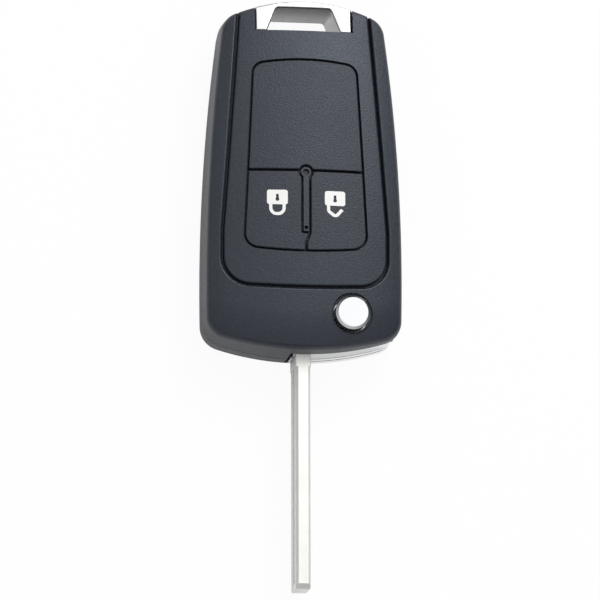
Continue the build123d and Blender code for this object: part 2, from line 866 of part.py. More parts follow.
# Key blade: uncut, a collar at its root, a long groove milled in each wide face
with BuildPart() as key_blade:
    blade_root_y = low_end_y + head_inset - blade_root_gap
    with BuildSketch(Plane.YZ.offset(-blade_thickness / 2)) as blade_sketch:
        with Locations((blade_root_y, blade_middle_z)):
            Rectangle(
                blade_reach + head_inset - blade_root_gap,
                blade_width,
                align=(Align.MAX, Align.CENTER),
            )
        chamfer(
            blade_sketch.vertices().group_by(Axis.X)[0],
            length=blade_tip_length,
            length2=(blade_width - blade_tip_width) / 2,
        )
    extrude(amount=blade_thickness)
    chamfer(key_blade.edges().filter_by(Axis.Y), blade_edge_bevel)
    for side in (-1, 1):
        with BuildSketch(Plane.YZ.offset(side * blade_thickness / 2)):
            with Locations((blade_root_y - collar_length, blade_middle_z)):
                Rectangle(
                    blade_reach - collar_length - blade_tip_length,
                    groove_width,
                    align=(Align.MAX, Align.CENTER),
                )
        extrude(amount=-side * groove_depth, mode=Mode.SUBTRACT)
    with BuildSketch(Plane.XZ.offset(-blade_root_y)):
        with Locations((0, blade_middle_z)):
            RectangleRounded(
                blade_thickness + 2 * collar_stand, blade_width, collar_corner_radius
            )
    extrude(amount=collar_length)
    with BuildSketch(Plane.XZ.offset(-blade_root_y - tang_length)):
        with Locations((0, blade_middle_z)):
            Rectangle(blade_thickness, tang_width)
    extrude(amount=tang_length)
    with Locations(pin_left):
        Cylinder(
            blade_pin_radius, blade_pin_right_x + head_left, align=pin_align, mode=Mode.SUBTRACT
        )
finish(key_blade.part, "key_blade")

# Cross pin that holds the blade's tang in the head
with BuildPart() as blade_pin:
    with Locations(pin_left):
        Cylinder(
            blade_pin_radius - tang_clearance, blade_pin_right_x + head_left, align=pin_align
        )
finish(blade_pin.part, "blade_pin")

# Release button: a domed cap that stands out of its recess, on a hollow flange
button_top_z = crown_z(pivot_x, pivot_y) + button_travel + button_left_standing
with BuildPart() as release_button:
    with BuildSketch(Plane.XZ.offset(-pivot_y)) as button_section:
        with BuildLine():
            Polyline(
                (pivot_x, button_top_z),
                (pivot_x, button_flange_low_z + button_wall),
                (pivot_x + button_flange_radius - button_wall, button_flange_low_z + button_wall),
                (pivot_x + button_flange_radius - button_wall, button_flange_low_z),
                (pivot_x + button_flange_radius, button_flange_low_z),
                (pivot_x + button_flange_radius, button_flange_top_z),
                (pivot_x + button_radius, button_flange_top_z),
                (pivot_x + button_radius, button_top_z - button_bevel_drop),
                (pivot_x + button_bevel_start, button_top_z - button_step),
                (pivot_x + button_face_radius, button_top_z - button_step),
                (pivot_x + button_face_radius, button_top_z),
                close=True,
            )
        make_face()
        rim = Vector(pivot_x + button_face_radius, pivot_y, button_top_z)
        fillet(button_section.vertices().sort_by_distance(rim)[0], button_edge_radius)
    revolve(axis=Axis((pivot_x, pivot_y, 0), (0, 0, 1)))
finish(release_button.part, "release_button")

# Release spring between the pivot cap and the button's flange
spring_height = button_flange_low_z + button_wall - spring_low_z - 2 * spring_wire
with BuildPart() as release_spring:
    with BuildLine(Plane((pivot_x, pivot_y, spring_low_z + spring_wire))):
        coil = Helix(pitch=spring_height / spring_turns, height=spring_height, radius=spring_radius)
    with BuildSketch(Plane(origin=coil @ 0, z_dir=coil % 0)):
        RegularPolygon(spring_wire, 8)
    sweep(path=coil, is_frenet=True)
finish(release_spring.part, "release_spring")

# Pivot cap: the lower bearing of the head, pressed into the rear shell from the back
with BuildPart() as pivot_cap:
    with Locations((pivot_x, pivot_y, cap_sink)):
        Cylinder(
            cap_flange_radius,
            cap_flange_thickness - cap_sink,
            align=(Align.CENTER, Align.CENTER, Align.MIN),
        )
        Cylinder(
            cap_shank_radius,
            spring_low_z - cap_sink,
            align=(Align.CENTER, Align.CENTER, Align.MIN),
        )
    with Locations((pivot_x, pivot_y, cap_sink)):
        Box(
            cap_flange_radius,
            cap_coin_slot,
            cap_coin_slot / 2,
            align=(Align.CENTER, Align.CENTER, Align.MIN),
            mode=Mode.SUBTRACT,
        )
finish(pivot_cap.part, "pivot_cap")

# Rear shell: floor, side wall, seats for the board, the cap and the battery cover
with BuildSketch() as cover_sketch:
    with Locations((cell_x, up(cell_height))):
        RectangleRounded(cover_width, cover_length, cover_corner_radius)
with BuildPart() as rear_shell:
    add(rear_blank.part)
    with BuildSketch(Plane.XY.offset(rear_floor)):
        add(works_outline())
    extrude(amount=part_line_z, mode=Mode.SUBTRACT)
    add(hinge_room(), mode=Mode.SUBTRACT)
    add(trim_room(trim_clearance), mode=Mode.SUBTRACT)
    add(loop_pocket(), mode=Mode.SUBTRACT)
    # Round opening for the coin cell, with the cover's seat around it
    with Locations((cell_x, up(cell_height), 0)):
        Cylinder(
            cell_radius + cell_clearance,
            rear_floor,
            align=(Align.CENTER, Align.CENTER, Align.MIN),
            mode=Mode.SUBTRACT,
        )
    with BuildSketch():
        add(cover_sketch.sketch)
        offset(amount=cover_gap)
    extrude(amount=cover_thickness, mode=Mode.SUBTRACT)
    # Stepped hole for the pivot cap
    with Locations((pivot_x, pivot_y, 0)):
        Cylinder(
            cap_shank_radius,
            part_line_z,
            align=(Align.CENTER, Align.CENTER, Align.MIN),
            mode=Mode.SUBTRACT,
        )
        Cylinder(
            cap_flange_radius,
            cap_flange_thickness,
            align=(Align.CENTER, Align.CENTER, Align.MIN),
            mode=Mode.SUBTRACT,
        )
    # Posts that carry the board
    with Locations([(x, up(height), rear_floor) for x, height in board_posts]):
        Cylinder(
            post_radius,
            part_line_z - rear_floor,
            align=(Align.CENTER, Align.CENTER, Align.MIN),
        )
finish(rear_shell.part, "rear_shell")

# Mouth trim: a bright strip let into the rear shell under the flip head
with BuildPart() as mouth_trim:
    add(trim_room())
    add(rear_blank.part, mode=Mode.INTERSECT)
finish(mouth_trim.part, "mouth_trim")

# Battery cover: a plate that snaps into the back, with a pry notch at its low edge
with BuildPart() as battery_cover:
    with BuildSketch():
        add(cover_sketch.sketch)
    extrude(amount=cover_thickness)
    chamfer(battery_cover.faces().sort_by(Axis.Z)[0].edges(), part_line_bevel)
    with Locations((cell_x, up(cell_height) - cover_length / 2, 0)):
        Box(
            pry_notch_width,
            2 * pry_notch_depth,
            2 * pry_notch_depth,
            mode=Mode.SUBTRACT,
        )
finish(battery_cover.part, "battery_cover")

# Coin cell in its round opening, on the cover
cell_low_z = cover_thickness + cell_seat_gap
with BuildPart() as coin_cell:
    with Locations((cell_x, up(cell_height), cell_low_z)):
        Cylinder(
            cell_radius, cell_thickness, align=(Align.CENTER, Align.CENTER, Align.MIN)
        )
    fillet(coin_cell.faces().sort_by(Axis.Z)[0].edges(), cell_edge_radius)
    with BuildSketch(Plane.XY.offset(cell_low_z + cell_thickness)):
        with Locations((cell_x, up(cell_height))):
            Circle(cell_radius)
            Circle(cell_radius - cell_rim, mode=Mode.SUBTRACT)
    extrude(amount=-cell_rim_depth, mode=Mode.SUBTRACT)
finish(coin_cell.part, "coin_cell")

# Clip that bridges the cell, and a side finger at its rim, both soldered to the board
cell_top_z = cell_low_z + cell_thickness
clip_reach = 2 * (cell_radius + cell_clearance + clip_thickness)
with BuildPart() as cell_clip:
    with BuildSketch(Plane.YZ.offset(cell_x - clip_width / 2)):
        with Locations((up(cell_height), board_z)):
            Rectangle(clip_reach, board_z - cell_top_z, align=(Align.CENTER, Align.MAX))
            Rectangle(
                clip_reach - 2 * clip_thickness,
                board_z - cell_top_z - clip_thickness,
                align=(Align.CENTER, Align.MAX),
                mode=Mode.SUBTRACT,
            )
    extrude(amount=clip_width)
finish(cell_clip.part, "cell_clip")
with BuildPart() as cell_contact:
    with Locations((cell_x + cell_radius + contact_gap, up(cell_height), board_z)):
        Box(
            clip_thickness,
            clip_width,
            board_z - rear_floor - contact_gap,
            align=(Align.MIN, Align.CENTER, Align.MAX),
        )
finish(cell_contact.part, "cell_contact")

# Circuit board on its posts
with BuildPart() as circuit_board:
    with BuildSketch(Plane.XY.offset(board_z)):
        add(works_outline(board_clearance))
        with Locations((0, up(board_low_height))):
            Rectangle(outside, outside, align=(Align.CENTER, Align.MIN), mode=Mode.INTERSECT)
    extrude(amount=board_thickness)
finish(circuit_board.part, "circuit_board")

# Switch bodies under the two key stems, each with a well for its plunger
board_top_z = board_z + board_thickness
for name, side in (("lock", -1), ("unlock", 1)):
    with BuildPart() as switch:
        with Locations((side * stem_x, up(stem_height), board_top_z)):
            Box(
                switch_size,
                switch_size,
                switch_height,
                align=(Align.CENTER, Align.CENTER, Align.MIN),
            )
        with Locations((side * stem_x, up(stem_height), board_top_z + switch_well_floor)):
            Cylinder(
                plunger_radius + running_fit,
                switch_height,
                align=(Align.CENTER, Align.CENTER, Align.MIN),
                mode=Mode.SUBTRACT,
            )
    finish(switch.part, f"{name}_switch")


def on_board(name, places, size):
    """Equal blocks soldered to the top of the board, as one node."""
    with BuildPart() as block:
        with Locations([(x, up(height), board_top_z) for x, height in places]):
            Box(*size, align=(Align.CENTER, Align.CENTER, Align.MIN))
    finish(block.part, name)


on_board("status_light", [(0, spine_head_height)], (light_size, light_depth, light_thickness))
on_board("control_chip", [(chip_x, chip_height)], (chip_size, chip_size, chip_thickness))
on_board(
    "crystal",
    [(crystal_x, crystal_height)],
    (crystal_length, crystal_width, crystal_thickness),
)
on_board(
    "board_small_parts",
    [(x, height) for x in small_part_columns for height in small_part_rows],
    (small_part_length, small_part_width, small_part_thickness),
)

# Aerial coil: a ferrite core on the floor in the low corner, with its winding
with BuildPart() as coil_core:
    with Locations((core_x, up(core_height), rear_floor)):
        Box(core_size, core_length, core_size, align=(Align.CENTER, Align.CENTER, Align.MIN))
        Box(
            core_size,
            core_length - 2 * core_end,
            core_size,
            align=(Align.CENTER, Align.CENTER, Align.MIN),
            mode=Mode.SUBTRACT,
        )
    with Locations((core_x, up(core_height), rear_floor + core_size / 2)):
        Box(core_neck, core_length - 2 * core_end, core_neck)
finish(coil_core.part, "coil_core")
with BuildPart() as aerial_coil:
    with Locations((core_x, up(core_height), rear_floor + core_size / 2)):
        Box(winding_size, core_length - 2 * core_end, winding_size)
        Box(core_neck, core_length, core_neck, mode=Mode.SUBTRACT)
finish(aerial_coil.part, "aerial_coil")
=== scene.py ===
# %% [markdown]
# A car remote key, dressed for its picture
#
# The key comes in as a finished engineering model: thirty-three pieces at their real size, already
# placed. Nothing here moves or reshapes them. This script gives every piece the surface it has on
# the real object, replaces one spring by a wound one, and sets up the table top, the light and the
# camera.
# Lengths are in metres, because that is the unit of the imported model. A helper named mm
# turns a size that a person would read off a ruler into metres.

import json
from math import cos, pi, radians, sin

import bmesh
import bpy
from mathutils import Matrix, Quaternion, Vector


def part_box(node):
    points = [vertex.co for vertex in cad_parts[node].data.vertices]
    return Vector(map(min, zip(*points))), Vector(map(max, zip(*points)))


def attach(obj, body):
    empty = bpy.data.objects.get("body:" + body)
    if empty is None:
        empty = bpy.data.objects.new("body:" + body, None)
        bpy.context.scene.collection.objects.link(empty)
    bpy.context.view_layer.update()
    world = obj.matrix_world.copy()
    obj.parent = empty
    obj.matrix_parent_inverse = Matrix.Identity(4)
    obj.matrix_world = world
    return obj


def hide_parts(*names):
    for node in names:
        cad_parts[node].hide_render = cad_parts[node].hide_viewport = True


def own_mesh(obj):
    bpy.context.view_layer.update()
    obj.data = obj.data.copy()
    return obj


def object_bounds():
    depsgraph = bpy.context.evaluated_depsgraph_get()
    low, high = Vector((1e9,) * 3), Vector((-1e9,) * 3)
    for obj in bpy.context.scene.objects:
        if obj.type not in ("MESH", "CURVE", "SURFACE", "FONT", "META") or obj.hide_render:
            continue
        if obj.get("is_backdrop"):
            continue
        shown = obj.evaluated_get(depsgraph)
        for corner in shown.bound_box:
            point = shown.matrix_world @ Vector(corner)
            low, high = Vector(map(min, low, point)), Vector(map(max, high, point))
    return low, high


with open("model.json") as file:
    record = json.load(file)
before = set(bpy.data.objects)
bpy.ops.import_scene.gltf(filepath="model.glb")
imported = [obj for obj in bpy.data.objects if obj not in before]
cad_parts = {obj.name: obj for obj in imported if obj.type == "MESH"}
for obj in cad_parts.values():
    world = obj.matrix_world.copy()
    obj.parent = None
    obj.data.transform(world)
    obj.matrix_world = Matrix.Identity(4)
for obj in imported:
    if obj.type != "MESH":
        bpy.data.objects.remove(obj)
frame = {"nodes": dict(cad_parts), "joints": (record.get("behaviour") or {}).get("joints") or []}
cad_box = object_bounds()
nodes = frame["nodes"]


MM_IN_METRE = 1000


def mm(length):
    """Millimetres as metres."""
    return length / MM_IN_METRE


# %% [markdown]
# Where the camera stands
#
# In a product shot of something this small the camera is far away and zoomed in, so that
# the near end doesn't look bigger than the far end. The key lies on its back, and the
# camera looks down on it, a little from the blade's side and a little from the left,
# which is why a thin strip of the left wall and of the low wall shows. The camera is also
# rolled, so that the blade hangs straight down in the picture.
# Distance and lens go together: the lens is worked out from how large one millimetre of
# the key should be in a picture 600 pixels wide.

# %% Camera
PICTURE_WIDTH = 600
PIXELS_PER_MM = 5.3163
SENSOR_WIDTH = 36.0
CAMERA_DISTANCE = mm(900)
CAMERA_AZIMUTH = radians(-33.13)
CAMERA_ELEVATION = radians(75.86)
CAMERA_ROLL = radians(33.83)
AIM_POINT = Vector((mm(0), mm(-22.65), mm(7)))
AIM_RIGHT = mm(-0.17)
AIM_UP = mm(-0.23)

towards_camera = Vector(
    (
        sin(CAMERA_AZIMUTH) * cos(CAMERA_ELEVATION),
        -cos(CAMERA_AZIMUTH) * cos(CAMERA_ELEVATION),
        sin(CAMERA_ELEVATION),
    )
)
camera_data = bpy.data.cameras.new("camera")
camera_data.sensor_width = SENSOR_WIDTH
camera_data.lens = PIXELS_PER_MM * CAMERA_DISTANCE * MM_IN_METRE * SENSOR_WIDTH / PICTURE_WIDTH
camera_data.clip_start = CAMERA_DISTANCE / 100
camera_data.clip_end = CAMERA_DISTANCE * 20
camera = bpy.data.objects.new("camera", camera_data)
bpy.context.scene.collection.objects.link(camera)
camera.rotation_mode = "QUATERNION"
looking = (-towards_camera).to_track_quat("-Z", "Y")
camera.rotation_quaternion = looking @ Quaternion((0, 0, 1), CAMERA_ROLL)
right = camera.rotation_quaternion @ Vector((1, 0, 0))
up = camera.rotation_quaternion @ Vector((0, 1, 0))
camera.location = (
    AIM_POINT + right * AIM_RIGHT + up * AIM_UP + towards_camera * CAMERA_DISTANCE
)
bpy.context.scene.camera = camera
print("lens:", round(camera_data.lens, 1), "mm at", CAMERA_DISTANCE, "m")

# %% [markdown]
# Writing shader maths as Python
#
# A procedural material is a small network of nodes. Clicking it together is slow to read
# back later, so a small class lets the maths be written as text. Wire holds one output
# of a node, and arithmetic on it adds Math nodes: 0.3 + 0.1 * grain makes two. Plus,
# minus and times come in pairs, so that 1 - mask works as well as mask - 1.


# %% Wire: an output with arithmetic
class Wire:
    """One output socket, on which + - * and > add Math nodes."""

    def __init__(self, finish, socket):
        self.finish = finish
        self.socket = socket

    def math(self, operation, first, second):
        return self.finish.node("ShaderNodeMath", {"operation": operation}, {0: first, 1: second})

    def __add__(self, other):
        return self.math("ADD", self, other)

    def __sub__(self, other):
        return self.math("SUBTRACT", self, other)

    def __rsub__(self, other):
        return self.math("SUBTRACT", other, self)

    def __mul__(self, other):
        return self.math("MULTIPLY", self, other)

    def __gt__(self, other):
        return self.math("GREATER_THAN", self, other)

    __radd__ = __add__
    __rmul__ = __mul__


# %% [markdown]
# One method for every other node
#
# Network is the tree that the wires belong to: a material's, or the world's. Its node
# method adds any node. The settings come first, because they can change which sockets a
# node has, and then the values or wires of its inputs.
# Finish is a Network with a Principled shader, the general-purpose surface. What is the
# same all over a piece is set on the shader's own sockets, and only what varies over the
# surface comes in as a wire.


# %% Network and Finish
class Network:
    """A node tree that nodes are added to by one method."""

    def __init__(self, owner):
        owner.use_nodes = True
        self.tree = owner.node_tree

    def node(self, kind, settings=None, inputs=None, output=0):
        """Adds a node, sets it up, feeds it, and returns one of its outputs as a Wire."""
        made = self.tree.nodes.new(kind)
        for name, value in (settings or {}).items():
            setattr(made, name, value)
        for name, value in (inputs or {}).items():
            self.feed(made.inputs[name], value)
        return Wire(self, made.outputs[output])

    def feed(self, socket, value):
        """Links a wire to a socket, or sets the socket to a plain value."""
        if isinstance(value, Wire):
            self.tree.links.new(value.socket, socket)
        else:
            socket.default_value = value


class Finish(Network):
    """A material: constant values on its Principled shader, and wires for what varies."""

    def __init__(self, name, **constants):
        self.material = bpy.data.materials.new(name)
        super().__init__(self.material)
        self.shader = self.tree.nodes["Principled BSDF"]
        for socket, value in constants.items():
            self.shader.inputs[socket.replace("_", " ")].default_value = value

    def surface(self, **wires):
        """Feeds the Principled shader's sockets with what varies over the surface."""
        for socket, wire in wires.items():
            self.feed(self.shader.inputs[socket.replace("_", " ")], wire)
        print("finish:", self.material.name, "with", len(self.tree.nodes), "nodes")
        return self.material


# %% [markdown]
# Patterns in millimetres
#
# Every node's mesh is in place, so its Object coordinates are simply its place on the
# key. They move with the piece, which keeps the grain still on the blade when it swings
# out. Multiplied by a thousand they are millimetres, and a pattern's scale then reads as
# so many grains for each millimetre. Stretching an axis turns grains into brush marks.
# A Mix node has sockets for numbers, vectors and colours under the same names, so its
# colour sockets are picked by their number.


# %% Patterns shared by the finishes
def colour(red, green, blue):
    """A colour socket's four numbers."""
    return (red, green, blue, 1.0)


def place(finish, stretch=(1, 1, 1)):
    """Object coordinates in millimetres, each axis times its stretch."""
    where = finish.node("ShaderNodeTexCoord", output="Object")
    scale = tuple(MM_IN_METRE * share for share in stretch)
    return finish.node(
        "ShaderNodeVectorMath", {"operation": "MULTIPLY"}, {0: where, 1: scale}
    )


def noise(finish, per_mm, detail=2.0, stretch=(1, 1, 1)):
    """Soft random values from 0 to 1, with so many grains for each millimetre."""
    return finish.node(
        "ShaderNodeTexNoise",
        {},
        {"Vector": place(finish, stretch), "Scale": per_mm, "Detail": detail},
    )


def smooth_step(finish, value, start, end):
    """0 where the value is under start, 1 where it is over end, and smooth between."""
    return finish.node(
        "ShaderNodeMapRange",
        {"interpolation_type": "SMOOTHSTEP"},
        {"Value": value, "From Min": start, "From Max": end},
    )


MIX_SHARE, MIX_FIRST, MIX_SECOND, MIX_RESULT = 0, 6, 7, 2


def mix_colours(finish, share, first, second):
    """The first colour, or wire, where share is 0, and the second colour where it is 1."""
    start = colour(*first) if isinstance(first, tuple) else first
    return finish.node(
        "ShaderNodeMix",
        {"data_type": "RGBA"},
        {MIX_SHARE: share, MIX_FIRST: start, MIX_SECOND: colour(*second)},
        output=MIX_RESULT,
    )


def bump(finish, height, depth_mm, under=None):
    """A Normal that makes height look as if it stood depth_mm out of the surface."""
    inputs = {"Height": height, "Distance": mm(depth_mm), "Strength": 1.0}
    if under:
        inputs["Normal"] = under
    return finish.node("ShaderNodeBump", {}, inputs)


# %% [markdown]
# The housing's black plastic
#
# The shells are moulded in one dark, slightly blue plastic with a satin grain, which is
# an eroded texture in the mould. Up close it is a field of tiny soft bumps, and hands
# polish it unevenly, so a second, much larger noise shifts the roughness a little. The
# colour itself is nearly black: what makes such a part look grey-blue in a photograph is
# the veil of light that its surface mirrors.
# The real face is also never flat. It rolls off by a few tenths of a millimetre towards
# its sides, and by more towards the blade. That is hard to see as a shape, but a surface
# that mirrors shows it at once as a soft darkening, so a bump adds it: a parabola over
# the distance from the housing's outline, which is itself made of parabolas.

# %% The housing's outline, in mm
LOW_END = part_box("front_shell")[0].y * MM_IN_METRE
LOW_END_CURVE = 0.00972
HALF_WIDTH = 18.35
SIDE_TAPER = 0.05
SIDE_CURVE = 0.00125
SIDE_ROLL_WIDTH = 5.0
SIDE_ROLL_DEPTH = 0.3
LOW_ROLL_WIDTH = 8.0
LOW_ROLL_DEPTH = 1.5
print("housing ends at y =", round(LOW_END, 2), "mm")


# %% How far the face rolls off
def rolled_edges(finish):
    """How far, in mm, the face dips towards its sides and its low end, from the place."""
    spot = place(finish)
    x = finish.node("ShaderNodeSeparateXYZ", {}, {0: spot}, output=0)
    y = finish.node("ShaderNodeSeparateXYZ", {}, {0: spot}, output=1)
    half_width = HALF_WIDTH - SIDE_TAPER * y - SIDE_CURVE * (y * y)
    from_side = half_width - x.math("ABSOLUTE", x, 0.0)
    from_low_end = y - LOW_END - LOW_END_CURVE * (x * x)
    side = x.math("MAXIMUM", 1 - from_side * (1 / SIDE_ROLL_WIDTH), 0.0)
    low = x.math("MAXIMUM", 1 - from_low_end * (1 / LOW_ROLL_WIDTH), 0.0)
    return SIDE_ROLL_DEPTH * (side * side) + LOW_ROLL_DEPTH * (low * low)


# %% [markdown]
# One function makes all three blacks, because they differ only in their grain: the
# buttons are coarser than the frame around them, so that a thumb feels them.


# %% Black plastics
ROLL_UNIT_MM = 1.0
MOTTLE_LIGHTENING = 3.2


def moulded_black(name, tint, roughness, grain_per_mm, grain_depth_mm):
    """Satin black plastic with an eroded grain and a faint unevenness from handling."""
    finish = Finish(name, Specular_IOR_Level=0.5, Specular_Tint=colour(0.82, 0.88, 1.0))
    rolled = bump(finish, 1 - rolled_edges(finish), ROLL_UNIT_MM)
    grain = noise(finish, grain_per_mm, detail=3.0)
    handling = noise(finish, 0.12, detail=4.0)
    mottle = noise(finish, 1.6, detail=4.0)
    lighter = tuple(MOTTLE_LIGHTENING * part for part in tint)
    return finish.surface(
        Base_Color=mix_colours(finish, mottle, tint, lighter),
        Roughness=roughness - 0.12 + 0.08 * handling + 0.16 * mottle,
        Normal=bump(finish, grain, grain_depth_mm, under=rolled),
    )


BLACK = (0.0074, 0.0088, 0.0122)
PAD_BLACK = (0.0075, 0.0086, 0.0117)
shell_plastic = moulded_black("shell_black", BLACK, 0.40, 2.6, 0.05)
face_plastic = moulded_black("face_black", BLACK, 0.40, 2.8, 0.05)
pad_plastic = moulded_black("pad_black", PAD_BLACK, 0.44, 3.0, 0.08)

# %% [markdown]
# The white padlock signs
#
# On the real key the signs are a second plastic, moulded into the buttons and flush with
# them. White plastic lets a little light in, so its colour is not a flat white but
# slightly warmer where a finger has rubbed it. The grain of the button runs on over it.


# %% White inlay
def white_inlay():
    """White second-shot plastic, faintly soiled, with the buttons' grain."""
    finish = Finish("sign_white", Specular_IOR_Level=0.4)
    rubbed = noise(finish, 0.9, detail=4.0)
    grain = noise(finish, 8.0)
    clean = (0.88, 0.885, 0.88)
    handled = (0.78, 0.77, 0.73)
    return finish.surface(
        Base_Color=mix_colours(finish, rubbed * 0.5, clean, handled),
        Roughness=0.42 + 0.12 * rubbed,
        Normal=bump(finish, grain, 0.006),
    )


sign_white = white_inlay()

# %% [markdown]
# Chrome
#
# The keyring loop, the flip head and the release button are plated. Chrome has almost no
# colour of its own: it shows the room. Two things keep it from looking like a computer's
# idea of a mirror. The plating follows a casting that is never quite flat, so a very
# shallow, broad bump bends the reflections. And keys rub against it, which leaves hair
# scratches: thin stretched noise, cut off so that only its crests stay, makes them a
# little rougher than the rest.


# %% Chrome plating
PLATING = (0.87, 0.875, 0.885)
WORN_PLATING = (0.78, 0.785, 0.79)
MIRROR_ROUGHNESS = 0.055
HAZE_ROUGHNESS = 0.06


def plated_chrome():
    """Bright plating over a cast part, with hair scratches."""
    finish = Finish("bright_chrome", Metallic=1.0)
    waviness = noise(finish, 0.22, detail=1.0)
    along = noise(finish, 1.0, detail=2.0, stretch=(9.0, 0.5, 9.0))
    across = noise(finish, 1.0, detail=2.0, stretch=(0.6, 8.0, 8.0))
    scratches = (along > 0.66) + (across > 0.68)
    haze = noise(finish, 0.5, detail=3.0)
    casting = bump(finish, waviness, 0.05)
    return finish.surface(
        Base_Color=mix_colours(finish, haze * 0.5, PLATING, WORN_PLATING),
        Roughness=MIRROR_ROUGHNESS + HAZE_ROUGHNESS * haze + 0.08 * scratches,
        Normal=bump(finish, scratches, 0.0006, under=casting),
    )


bright_chrome = plated_chrome()

# %% [markdown]
# The inside of the keyring loop
#
# A polishing wheel can't reach into the loop's opening, so there the plating lies on the bare
# casting, rough and grey. The colour there is also painted darker the higher it stands: painted
# shade, standing in for the wall mirroring less of the white table up there. It is one piece of
# metal, so it stays one material. The direction that a spot faces says whether it is the inside:
# only those walls face the blade. A smooth step between two directions gives the mask, with no
# hard line at the rounded corners.


# %% Inside of the loop
CAST_GREY_AND_PAINTED_SHADE = (0.13, 0.13, 0.135)


def loop_chrome():
    """The same plating, rough and grey on the cast inside of the loop's opening, and darker
    towards the top by painted shade.
    """
    finish = Finish("loop_chrome", Metallic=1.0)
    facing = finish.node("ShaderNodeTexCoord", output="Normal")
    towards_blade = -1 * finish.node("ShaderNodeSeparateXYZ", {}, {0: facing}, output=1)
    height = finish.node("ShaderNodeSeparateXYZ", {}, {0: place(finish)}, output=2)
    inside = smooth_step(finish, towards_blade, 0.25, 0.6)
    # Painted shade: this share darkens the inside's colour towards the top, in place of the white
    # table it mirrors less there.
    painted_shade_towards_top = smooth_step(finish, height, 2.0, 12.5)
    haze = noise(finish, 0.5, detail=3.0)
    cast = noise(finish, 2.5, detail=4.0)
    outside_tint = mix_colours(finish, haze * 0.5, PLATING, WORN_PLATING)
    # The first 0.35 is the real cast grey; the part that grows with height is painted shade.
    cast_grey_and_painted_shade_share = inside * (0.35 + 0.55 * painted_shade_towards_top)
    return finish.surface(
        Base_Color=mix_colours(finish, cast_grey_and_painted_shade_share, outside_tint, CAST_GREY_AND_PAINTED_SHADE),
        Roughness=MIRROR_ROUGHNESS + HAZE_ROUGHNESS * haze + inside * (0.2 + 0.15 * cast),
        Normal=bump(finish, cast * inside, 0.02),
    )


loop_plating = loop_chrome()

# %% [markdown]
# The blade's nickel
#
# An uncut blade is a strip of nickel-plated steel or brass, ground along its length. The
# grinding leaves fine parallel lines, so its noise is stretched over forty times along
# the blade. Nickel is warmer and greyer than chrome and never as sharp a mirror. The blade's
# plating is a satin one, full of pits too fine to see, which scatter light as paint does.
# Metallic below one adds that scattered share.


# %% Ground metals
LINES_PER_MM = 1.0


def ground_metal(name, tint, roughness, stretch, depth_mm=0.0015, metallic=1.0):
    """Metal with grinding lines along the axis that has the smallest stretch."""
    finish = Finish(name, Metallic=metallic)
    lines = noise(finish, LINES_PER_MM, detail=4.0, stretch=stretch)
    patches = noise(finish, 0.35, detail=3.0)
    darker = tuple(0.8 * part for part in tint)
    return finish.surface(
        Base_Color=mix_colours(finish, patches * 0.7, tint, darker),
        Roughness=roughness - 0.06 + 0.14 * lines + 0.06 * patches,
        Normal=bump(finish, lines, depth_mm),
    )


ALONG_THE_BLADE = (14.0, 0.3, 14.0)
ALL_ROUND = (10.0, 10.0, 0.6)
ACROSS = (0.5, 12.0, 12.0)
blade_nickel = ground_metal(
    "blade_nickel", (0.89, 0.885, 0.86), 0.42, ALONG_THE_BLADE, metallic=0.62
)
pin_steel = ground_metal("pin_steel", (0.60, 0.60, 0.60), 0.3, ALL_ROUND)
cell_steel = ground_metal("cell_steel", (0.72, 0.72, 0.71), 0.26, ACROSS)
contact_nickel = ground_metal("contact_nickel", (0.70, 0.68, 0.64), 0.32, ACROSS)
crystal_can = ground_metal("crystal_can", (0.76, 0.76, 0.75), 0.34, ACROSS, depth_mm=0.003)

# %% [markdown]
# The circuit board
#
# A board is woven glass and resin under a green lacquer. Copper tracks lie under the
# lacquer and lift it a little, which a bump shows as well as a modelled track would, at
# a fraction of the cost. A brick pattern with thin joints gives straight runs that turn
# at right angles, and a second one at another size keeps them from looking like a wall.


# %% Green lacquered board
def tracks(finish, width_mm, row_mm, joint_mm):
    """1 on straight copper tracks, which are the joints of a brick pattern."""
    return finish.node(
        "ShaderNodeTexBrick",
        {"offset": 0.37, "squash": 1.6},
        {
            "Vector": place(finish),
            "Scale": 1.0,
            "Mortar Size": joint_mm,
            "Mortar Smooth": 0.2,
            "Brick Width": width_mm,
            "Row Height": row_mm,
        },
        output="Fac",
    )


def lacquered_board():
    """Green solder lacquer over copper tracks."""
    finish = Finish("board_green", Coat_Weight=0.5, Coat_Roughness=0.15)
    copper = tracks(finish, 4.3, 1.9, 0.09) + tracks(finish, 6.1, 3.1, 0.14)
    weave = noise(finish, 2.5, detail=2.0)
    lacquer = (0.012, 0.115, 0.045)
    over_copper = (0.035, 0.21, 0.085)
    return finish.surface(
        Base_Color=mix_colours(finish, copper, lacquer, over_copper),
        Roughness=0.34 + 0.1 * weave,
        Normal=bump(finish, copper + 0.15 * weave, 0.035),
    )


board_green = lacquered_board()

# %% [markdown]
# Small moulded, pressed and glazed pieces
#
# Inside are switches, a chip, blocks of ceramic and a ferrite core. They are plain
# pieces, and each still has a skin of its own: a chip's package is matt with a fine
# sparkle of filler, ceramic has pale specks and ferrite is a dark pressed powder. One
# function with two colours and a grain covers them all.


# %% Speckled solids
def speckled(name, tint, specks, roughness, grain_per_mm, grain_depth_mm, **constants):
    """A plain piece with a fine two-colour speckle and the bump that goes with it."""
    finish = Finish(name, **constants)
    grain = noise(finish, grain_per_mm, detail=3.0)
    return finish.surface(
        Base_Color=mix_colours(finish, grain, tint, specks),
        Roughness=roughness + 0.12 * grain,
        Normal=bump(finish, grain, grain_depth_mm),
    )


